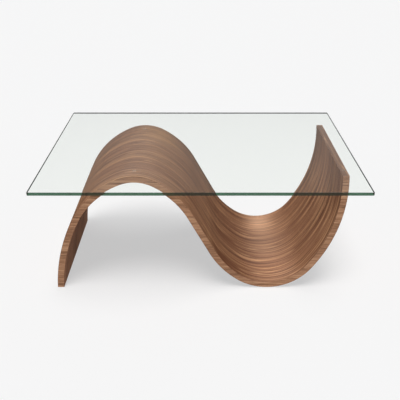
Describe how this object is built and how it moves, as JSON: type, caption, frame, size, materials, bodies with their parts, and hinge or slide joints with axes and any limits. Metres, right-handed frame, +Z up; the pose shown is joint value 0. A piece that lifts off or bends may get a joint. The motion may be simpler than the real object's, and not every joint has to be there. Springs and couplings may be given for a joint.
{
  "type": "coffee table",
  "caption": "Low coffee table with a clear rectangular glass top resting loose on a bent-laminated walnut base shaped as an S-wave with a crest and a trough.",
  "frame": {"origin": "on the floor under the middle of the glass top", "axes": "+X along the table from the foot towards the tip, +Y from the front to the rear, +Z up"},
  "size_m": [1, 0.7, 0.416],
  "materials": {
    "glass": "clear toughened float glass, polished edges",
    "clear_pad": "clear soft polyurethane, satin",
    "bending_ply": "raw bending plywood, glued",
    "walnut_veneer": "walnut veneer, grain along the wave, satin lacquer",
    "walnut_band": "walnut edge band, level grain, satin lacquer",
    "nylon_glide": "moulded brown nylon"
  },
  "bodies": {
    "wave_base": {"bending_ply_1": "bending_ply", "bending_ply_2": "bending_ply", "bending_ply_3": "bending_ply", "bending_ply_4": "bending_ply", "bending_ply_5": "bending_ply", "top_veneer_front": "walnut_veneer", "top_veneer_middle": "walnut_veneer", "top_veneer_rear": "walnut_veneer", "under_veneer_front": "walnut_veneer", "under_veneer_middle": "walnut_veneer", "under_veneer_rear": "walnut_veneer", "front_edge_band": "walnut_band", "rear_edge_band": "walnut_band", "tip_end_band": "walnut_band", "foot_end_band": "walnut_band", "crest_pads": "clear_pad", "tip_pads": "clear_pad", "foot_glides": "nylon_glide", "trough_glides": "nylon_glide"},
    "glass": {"glass_top": "glass"}
  },
  "joints": [
    {"name": "glass_lift", "type": "slide", "parent": "wave_base", "child": "glass", "axis": [0, 0, 1], "range_m": [0, 0.15]}
  ]
}
